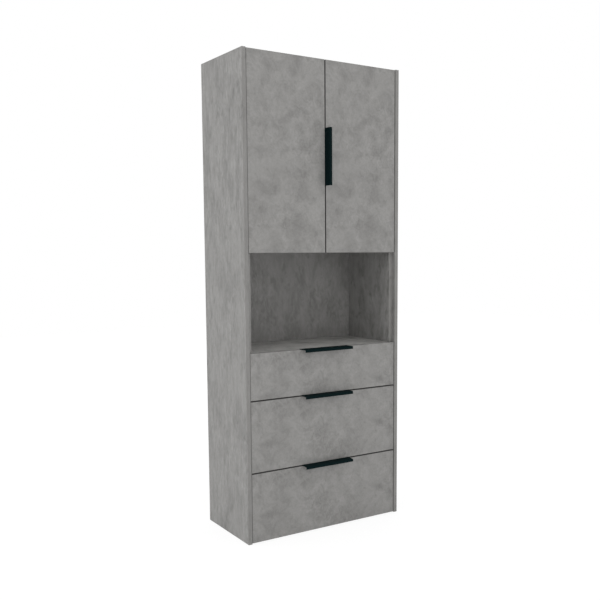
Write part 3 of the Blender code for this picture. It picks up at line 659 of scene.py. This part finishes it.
axle = turned([(AXLE["radius"], -AXLE["half"]), (AXLE["radius"], AXLE["half"])], around=12)
damper = turned([(DAMPER["radius"] * wide, DAMPER["half"] * along + offset)
                 for wide, along, offset in DAMPER_PROFILE], around=20)
slot_plate = slab(**SLOT_PLATE)
for side, sign in SIDES.items():
    cup_screws, axles, dampers, arm_screws, slot_plates = [], [], [], [], []
    for level in ("lower", "upper"):
        low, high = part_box(f"hinge_cup_{side}_{level}")
        height, flange = (low.z + high.z) / 2, high.y
        inner, outer = sorted((abs(low.x), abs(high.x)))
        for step in (-1, 1):
            spot = (sign * (inner + FLANGE_HALF), flange, height + step * FLANGE_SCREW_AT)
            cup_screws.append(placed(cross_head(FLANGE_SCREW, FLANGE_SCREW_RISE), spot, (0, 1, 0)))
        spot = (sign * (outer - AXLE["from_rim"]), flange - AXLE["under_flange"], height)
        axles.append(placed(axle, spot, (0, 0, 1), (0, 1, 0)))
        spot = (sign * (outer - CUP_WIDE + DAMPER["from_rim"]), flange - DAMPER["under_flange"],
                height)
        dampers.append(placed(damper, spot, (0, 0, 1), (0, 1, 0)))

        low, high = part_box(f"hinge_arm_{side}_{level}")
        height, inward = (low.z + high.z) / 2, (-sign, 0, 0)
        inner, outer = sorted((abs(low.x), abs(high.x)))
        for at, (width, rise) in ARM_SCREWS.items():
            spot = (sign * inner, low.y + at, height)
            arm_screws.append(placed(cross_head(width, rise), spot, inward))
        spot = (sign * inner, low.y + max(ARM_SCREWS), height)
        slot_plates.append(placed(slot_plate, spot, inward))
        for step in (-1, 1):
            spot = (sign * (outer - MOUNTING_PLATE), low.y + MOUNTING_ROW,
                    height + step * MOUNTING_AT)
            arm_screws.append(placed(cross_head(MOUNTING_SCREW, MOUNTING_RISE), spot, inward))
    door, plated = f"{side}_door", "nickel_plated_steel"
    new_piece(f"{side}_door_cup_screws", cup_screws, nickel, door, recess_painted_shade)
    new_piece(f"{side}_door_cup_axles", axles, nickel, door)
    new_piece(f"{side}_door_dampers", dampers, damper_grey, door)
    new_piece(f"{side}_hinge_arm_screws", arm_screws, nickel, "carcass", recess_painted_shade)
    new_piece(f"{side}_hinge_arm_slot_plates", slot_plates, nickel, "carcass")


# Each hinge's link: a cranked strip of nickel-plated steel, pinned to the arm's tip and to the
# axle in the cup. A real hinge has a chain of rigid links, which the door's one turning axis can't
# follow; this one is a single strip that rides on no body.
LINK_PATH = {"tip": (0.0238, 0.0100), "crank": (0.0140, 0.0110), "axle": (0.0102, 0.0121)}
LINK_WIDE, LINK_THICK, LINK_SKEW, LINK_STEPS = 0.0090, 0.0024, (0.6, 0.8), 25
AXIS = {joint["name"]: joint["pos_m"] for joint in frame["joints"] if joint["type"] == "hinge"}


def hinge_link(axis, sign, height):
    """A strip from the arm's tip over the crank to the axle: four corners round a path in plan.

    The path is measured inwards and back from the door's axis, and the strip's thickness along
    LINK_SKEW. From the tip to the crank, the points lie where the smooth step from 0 to 1 rises
    evenly, so that the strip bends evenly.
    """
    even = 0.5 - np.sin(np.arcsin(1 - 2 * np.linspace(0, 1, LINK_STEPS)) / 3)
    tip, crank, axle_at = (np.array(point) for point in LINK_PATH.values())
    path = np.concatenate([tip + even[:, None] * (crank - tip), [axle_at]])
    side = np.array([1, -1, -1, 1])[::sign] * LINK_THICK / 2
    level = height + np.array([1, 1, -1, -1])[::sign] * LINK_WIDE / 2
    plan = path[:, None] + side[:, None] * LINK_SKEW
    return np.stack([axis[0] - sign * plan[..., 0], axis[1] + plan[..., 1],
                     level + 0 * plan[..., 0]], axis=-1)


for side, sign in SIDES.items():
    axis = AXIS[f"{side}_door_hinge"]
    links = []
    for level in ("lower", "upper"):
        low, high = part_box(f"hinge_cup_{side}_{level}")
        links.append(hinge_link(axis, sign, (low.z + high.z) / 2))
    item = new_piece(f"{side}_door_links", links, nickel, None)
    start, end = ((axis[0] - sign * across, axis[1] + back, axis[2])
                  for across, back in (LINK_PATH["tip"], LINK_PATH["crank"]))
    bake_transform(item)


# The runners: rolled steel with a light grey epoxy coat, screwed to the carcass and under the
# drawer sides. Each member has one nylon roller that turns on a riveted axle.
EPOXY, EPOXY_SHADE, EPOXY_ROUGH, EPOXY_MM = linear("#b5b4b0"), linear("#aaa9a5"), 0.36, 0.9
NYLON, NYLON_SHADE, NYLON_ROUGH, NYLON_MM = linear("#d9d6cb"), linear("#cbc8bd"), 0.42, 0.6
SKIN, STEEL = 0.00015, 0.0012
ROLLER_WIDE, FRONT_WHEEL, REAR_WHEEL, CHAMFER = 0.0065, 0.0089, 0.0110, 0.0009
AXLE_HOLE, HUB_FOOT, HUB_EDGE, HUB_BORE = 0.0030, 0.0056, 0.0052, 0.0034
RIVET_STEPS = [(0.0030, 0.4), (0.0022, 0.9), (0.0008, 1.0)]
FRONT_WHEEL_AT, FRONT_WHEEL_TOP, REAR_WHEEL_AT, WHEEL_PLAY = 0.0149, 0.0220, 0.0170, 0.0003
WEB_SCREW, WEB_SCREW_RISE, WEB_SCREWS_AT = 0.0085, 0.0004, (0.035, 0.195, 0.300)
SEAT_SCREW, SEAT_SCREW_RISE, SEAT_SCREWS_AT = 0.0070, 0.0008, (0.040, 0.180, 0.310)
SEAT_HALF, FRONT_HUB, REAR_HUB, RIVET_RISE = 0.005, 0.0003, 0.00017, 0.0005


def nylon_roller(radius, hub):
    """A roller over the solid one: chamfered tread, flat faces, and a raised hub on one face."""
    rim, tread, face, top = radius - CHAMFER, radius + SKIN, ROLLER_WIDE + SKIN, ROLLER_WIDE + hub
    return turned([(AXLE_HOLE, -SKIN), (rim, -SKIN), (tread, CHAMFER),
                   (tread, ROLLER_WIDE - CHAMFER), (rim, face), (HUB_FOOT, face),
                   (HUB_EDGE, top), (HUB_BORE, top)], around=36)


def rivet(rise):
    """The domed head of the axle: its radius shrinks step by step up to the rise."""
    steps = [(radius, rise * lift) for radius, lift in RIVET_STEPS]
    return turned([(AXLE_HOLE, -SUNK)] + steps, around=16)


# Epoxy flows to a smooth satin coat with a soft waviness, and nylon is a warm, waxy white.
epoxy = moulded("epoxy_coated_steel", EPOXY, EPOXY_SHADE, EPOXY_ROUGH, EPOXY_MM)
nylon = moulded("white_nylon", NYLON, NYLON_SHADE, NYLON_ROUGH, NYLON_MM)
for node, slot in RECORD_SLOT.items():
    if slot == "coated_runner_steel":
        finish_node(node, epoxy)

for level in DRAWERS:
    for side, sign in SIDES.items():
        inward, outward = (-sign, 0, 0), (sign, 0, 0)
        low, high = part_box(f"{level}_cabinet_runner_{side}")
        inner, outer = sorted((abs(low.x), abs(high.x)))
        face = inner + WHEEL_PLAY
        at_y, at_z = low.y + FRONT_WHEEL_AT, low.z + FRONT_WHEEL_TOP - FRONT_WHEEL
        spot = (sign * (face + ROLLER_WIDE), at_y, at_z)
        wheel = placed(nylon_roller(FRONT_WHEEL, FRONT_HUB), spot, inward)
        new_piece(f"{level}_front_roller_{side}", [wheel], nylon, "carcass")
        axle_end = placed(rivet(RIVET_RISE), (sign * (face - FRONT_HUB), at_y, at_z), inward)
        new_piece(f"{level}_front_rivet_{side}", [axle_end], nickel, "carcass")
        spots = [(sign * (outer - STEEL), low.y + at, (low.z + high.z) / 2) for at in WEB_SCREWS_AT]
        screws = [placed(cross_head(WEB_SCREW, WEB_SCREW_RISE), spot, inward) for spot in spots]
        new_piece(f"{level}_cabinet_runner_screws_{side}", screws, nickel, "carcass",
                  recess_painted_shade)

        low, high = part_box(f"{level}_drawer_runner_{side}")
        inner, outer = sorted((abs(low.x), abs(high.x)))
        spot = (sign * (outer - ROLLER_WIDE), high.y - REAR_WHEEL_AT,
                low.z + WHEEL_PLAY + REAR_WHEEL)
        wheel = placed(nylon_roller(REAR_WHEEL, REAR_HUB), spot, outward)
        new_piece(f"{level}_rear_roller_{side}", [wheel], nylon, f"{level}_drawer")
        spots = [(sign * (inner + SEAT_HALF), low.y + at, low.z) for at in SEAT_SCREWS_AT]
        screws = [placed(cross_head(SEAT_SCREW, SEAT_SCREW_RISE), spot, (0, 0, -1), (0, 1, 0))
                  for spot in spots]
        new_piece(f"{level}_drawer_runner_screws_{side}", screws, nickel, f"{level}_drawer",
                  recess_painted_shade)


# The joints of the carcass and the drawers: dowels with zinc cams that are turned tight from
# inside, bare where they are out of sight and under grey caps behind the doors. Screws under
# caps hold the cover panels to the carcass sides.
ZINC, ZINC_DULL, ZINC_ROUGH, ZINC_MM = linear("#a3a5a6"), linear("#85888a"), (0.42, 0.54), 3.0
CAP_GREY, CAP_SHADE, CAP_ROUGH, CAP_MM = linear("#7e7d7b"), linear("#888785"), 0.5, 0.6
CAM, CAM_RISE, CAM_IN, CAM_ROWS = 0.0150, 0.0005, 0.024, (0.0375, 0.3225)
CAM_CAP, COVER_SCREW_CAP = 0.0086, 0.0062
CAP_STEPS = [(1.0, -SUNK), (1.0, 0.0005), (0.93, 0.0010), (0.6, 0.0013), (0.2, 0.0014)]
COVER_SCREW_DEPTHS, COVER_SCREW_HEIGHTS = (-0.060, 0.120), (0.215, 0.530, 0.765, 1.330, 2.040)
BOX_CAM_IN, BOX_CAM_RISES = 0.024, (0.045, -0.030)
BOX_SCREW, BOX_SCREW_RISE, BOX_BACK_HALF = 0.0070, 0.0005, 0.006
BOTTOM_SCREW, BOTTOM_SCREW_RISE, BOTTOM_SCREWS_AT = 0.0060, 0.0004, (-0.25, 0.0, 0.25)


def cap(radius):
    """A thin round cap: straight up, round a soft edge, then inwards over an almost flat crown."""
    return turned([(radius * share, height) for share, height in CAP_STEPS], around=28)


# Cast zinc is a dull blue-grey metal, and polythene caps match the board in a flat, soft grey.
zinc = plated_metal("cast_zinc", ZINC, ZINC_DULL, ZINC_ROUGH, ZINC_MM)
cap_grey = moulded("grey_polythene", CAP_GREY, CAP_SHADE, CAP_ROUGH, CAP_MM)
bare, capped = [], []
for node in ("top_panel", "niche_top_panel", "niche_floor_panel", "bottom_panel"):
    low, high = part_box(node)
    height, out = (high.z, 1) if node == "niche_top_panel" else (low.z, -1)
    for sign in SIDES.values():
        for row in CAM_ROWS:
            spot = (sign * (high.x - CAM_IN), low.y + row, height)
            if node in ("top_panel", "niche_top_panel"):
                capped.append(placed(cap(CAM_CAP), spot, (0, 0, out), (0, 1, 0)))
            else:
                bare.append(placed(cross_head(CAM, CAM_RISE), spot, (0, 0, out), (0, 1, 0)))
for side, sign in SIDES.items():
    low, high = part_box(f"carcass_side_{side}")
    inner = min(abs(low.x), abs(high.x))
    capped += [placed(cap(COVER_SCREW_CAP), (sign * inner, depth, height), (-sign, 0, 0))
               for depth in COVER_SCREW_DEPTHS for height in COVER_SCREW_HEIGHTS]
new_piece("carcass_cams", bare, zinc, "carcass", recess_painted_shade)
new_piece("carcass_caps", capped, cap_grey, "carcass")

for level in DRAWERS:
    cams, screws = [], []
    for side, sign in SIDES.items():
        low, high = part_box(f"{level}_drawer_side_{side}")
        inner, outer = sorted((abs(low.x), abs(high.x)))
        for rise in BOX_CAM_RISES:
            height = (low.z if rise > 0 else high.z) + rise
            spot = (sign * inner, low.y + BOX_CAM_IN, height)
            cams.append(placed(cross_head(CAM, CAM_RISE), spot, (-sign, 0, 0)))
            spot = (sign * outer, high.y - BOX_BACK_HALF, height)
            screws.append(placed(cross_head(BOX_SCREW, BOX_SCREW_RISE), spot, (sign, 0, 0)))
    low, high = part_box(f"{level}_drawer_bottom")
    for across in BOTTOM_SCREWS_AT:
        spot = (across, high.y - BOX_BACK_HALF, low.z)
        screw = cross_head(BOTTOM_SCREW, BOTTOM_SCREW_RISE)
        screws.append(placed(screw, spot, (0, 0, -1), (0, 1, 0)))
    new_piece(f"{level}_drawer_cams", cams, zinc, f"{level}_drawer", recess_painted_shade)
    new_piece(f"{level}_drawer_screws", screws, nickel, f"{level}_drawer",
              recess_painted_shade)


# The bumpers: round pads of clear soft plastic stuck to the corners of the fronts' backs, so
# that the doors and drawers shut quietly and stand 1.5 mm off the carcass. Polyurethane is
# glossy and clear enough to show the board behind it.
BUMPER_CLEAR, BUMPER_MILKY = linear("#c9cbca"), linear("#d6d8d7")
BUMPER_ROUGH, BUMPER_MM, BUMPER_THROUGH = 0.22, 2.0, 0.8
BUMPER_RADIUS = 0.0040
BUMPER_STEPS = [(1.0, -0.0001), (1.0, 0.0007), (0.86, 0.0012), (0.5, 0.0014)]
DOOR_BUMPERS_AT, TOP_EDGE_IN, ROOM_FLOOR_IN = (0.030, 0.340), 0.008, 0.009
DRAWER_BUMPERS_AT, DRAWER_BUMPER_IN = 0.374, 0.02
bumper = turned([(BUMPER_RADIUS * share, height) for share, height in BUMPER_STEPS], around=20)
clear_plastic = moulded("clear_polyurethane", BUMPER_CLEAR, BUMPER_MILKY, BUMPER_ROUGH, BUMPER_MM,
                        BUMPER_THROUGH)
ceiling_low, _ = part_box("top_panel")
_, room_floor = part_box("niche_top_panel")
for side, sign in SIDES.items():
    low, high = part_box(f"{side}_door")
    spots = [(sign * across, high.y, height) for across in DOOR_BUMPERS_AT
             for height in (ceiling_low.z + TOP_EDGE_IN, room_floor.z - ROOM_FLOOR_IN)]
    new_piece(f"{side}_door_bumpers", [placed(bumper, spot, (0, 1, 0)) for spot in spots],
              clear_plastic, f"{side}_door")
for level in DRAWERS:
    low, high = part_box(f"{level}_drawer_front")
    spots = [(sign * DRAWER_BUMPERS_AT, high.y, height) for sign in SIDES.values()
             for height in (low.z + DRAWER_BUMPER_IN, high.z - DRAWER_BUMPER_IN)]
    new_piece(f"{level}_drawer_bumpers", [placed(bumper, spot, (0, 1, 0)) for spot in spots],
              clear_plastic, f"{level}_drawer")


# The rear: grey plastic wedges screwed into the corners press the hardboard into its grooves,
# and two steel angles under the top panel take the screws that hold the cabinet to the wall.
WEDGE_HEIGHTS = (0.34, 0.76, 1.18, 1.60, 1.98)
WEDGE = {"width": 0.020, "height": 0.016, "radius": 0.003,
         "levels": [(0, 0), (0, 0.0063), (0.0012, 0.009)]}
WEDGE_RISE, WEDGE_SCREW, WEDGE_SCREW_RISE = 0.009, 0.0070, 0.0006
ANGLE_WIDE, ANGLE_THICK, ANGLE_LEG, ANGLE_BEND, BEND_POINTS = 0.022, 0.0018, 0.030, 0.003, 7
ANGLE_SCREW, ANGLE_SCREW_RISE, ANGLE_SCREW_AT, ANGLES_AT = 0.0085, 0.0011, 0.0186, (-0.25, 0.25)


def strip(path, width, thickness, across):
    """A flat strip carried along a path: its four corners stand square to it at each point."""
    across = np.array(across, float)
    along = np.gradient(path, axis=0)
    along /= np.linalg.norm(along, axis=1)[:, None]
    normal = np.cross(along, across)
    corners = np.array([(1, -1), (1, 1), (-1, 1), (-1, -1)]) * (width / 2, thickness / 2)
    return path[:, None] + corners[:, 0, None] * across + corners[:, 1, None] * normal[:, None]


sheet_low, sheet_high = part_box("back_panel")
side_low, side_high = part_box("carcass_side_right")
wedge = slab(**WEDGE)
wedges, wedge_screws = [], []
for sign in SIDES.values():
    for height in WEDGE_HEIGHTS:
        across = sign * (side_low.x - WEDGE["width"] / 2)
        wedges.append(placed(wedge, (across, sheet_high.y, height), (0, 1, 0)))
        wedge_screws.append(placed(cross_head(WEDGE_SCREW, WEDGE_SCREW_RISE),
                                   (across, sheet_high.y + WEDGE_RISE, height), (0, 1, 0)))
new_piece("back_wedges", wedges, cap_grey, "carcass")
new_piece("back_wedge_screws", wedge_screws, nickel, "carcass", recess_painted_shade)

half, angle = ANGLE_THICK / 2, np.linspace(0, math.pi / 2, BEND_POINTS)
bend = np.c_[0 * angle, sheet_low.y - half - ANGLE_BEND + ANGLE_BEND * np.cos(angle),
             ceiling_low.z - half - ANGLE_BEND + ANGLE_BEND * np.sin(angle)]
start = [(0, sheet_low.y - half, ceiling_low.z - ANGLE_LEG * part) for part in (1.0, 0.5)]
end = [(0, sheet_low.y - ANGLE_LEG * part, ceiling_low.z - half) for part in (0.5, 1.0)]
angle_screw = cross_head(ANGLE_SCREW, ANGLE_SCREW_RISE)
angles, angle_screws = [], []
for across in ANGLES_AT:
    path = np.concatenate([start, bend, end]) + (across, 0, 0)
    angles.append(strip(path, ANGLE_WIDE, ANGLE_THICK, (1, 0, 0)))
    spot = (across, sheet_low.y - ANGLE_THICK, ceiling_low.z - ANGLE_SCREW_AT)
    angle_screws.append(placed(angle_screw, spot, (0, -1, 0)))
    spot = (across, sheet_low.y - ANGLE_SCREW_AT, ceiling_low.z - ANGLE_THICK)
    angle_screws.append(placed(angle_screw, spot, (0, 0, -1), (0, 1, 0)))
new_piece("wall_angles", angles, nickel, "carcass")
new_piece("wall_angle_screws", angle_screws, nickel, "carcass", recess_painted_shade)


# The feet: moulded black polypropylene with a fine matt grain, screwed up or down by the ribbed
# collar to level the cabinet.
FOOT_BLACK, FOOT_SHADE, FOOT_ROUGH, FOOT_MM = linear("#141414"), linear("#1d1d1d"), 0.5, 0.8
COLLAR_RADIUS, COLLAR_LOW, COLLAR_HIGH, COLLAR_SOFT = 0.0173, -0.0066, -0.0006, 0.0006
RIB, RIBS, SPINDLE_RADIUS, SPINDLE_LOW = 0.0004, 30, 0.0068, -0.0205
foot_black = moulded("black_polypropylene", FOOT_BLACK, FOOT_SHADE, FOOT_ROUGH, FOOT_MM)
collar = turned([(COLLAR_RADIUS, COLLAR_LOW), (COLLAR_RADIUS + RIB, COLLAR_LOW + COLLAR_SOFT),
                 (COLLAR_RADIUS + RIB, COLLAR_HIGH - COLLAR_SOFT), (COLLAR_RADIUS, COLLAR_HIGH)],
                around=120, ripple=RIB, ripples=RIBS)
spindle = turned([(SPINDLE_RADIUS, SPINDLE_LOW), (SPINDLE_RADIUS, COLLAR_LOW)], around=6)
collars = []
for node, slot in RECORD_SLOT.items():
    if slot == "black_plastic":
        finish_node(node, foot_black)
        low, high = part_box(node)
        middle = ((low.x + high.x) / 2, (low.y + high.y) / 2, high.z)
        collars += [placed(shape, middle, (0, 0, 1), (0, 1, 0)) for shape in (collar, spindle)]
new_piece("foot_collars", collars, foot_black, "carcass")


low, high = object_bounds()
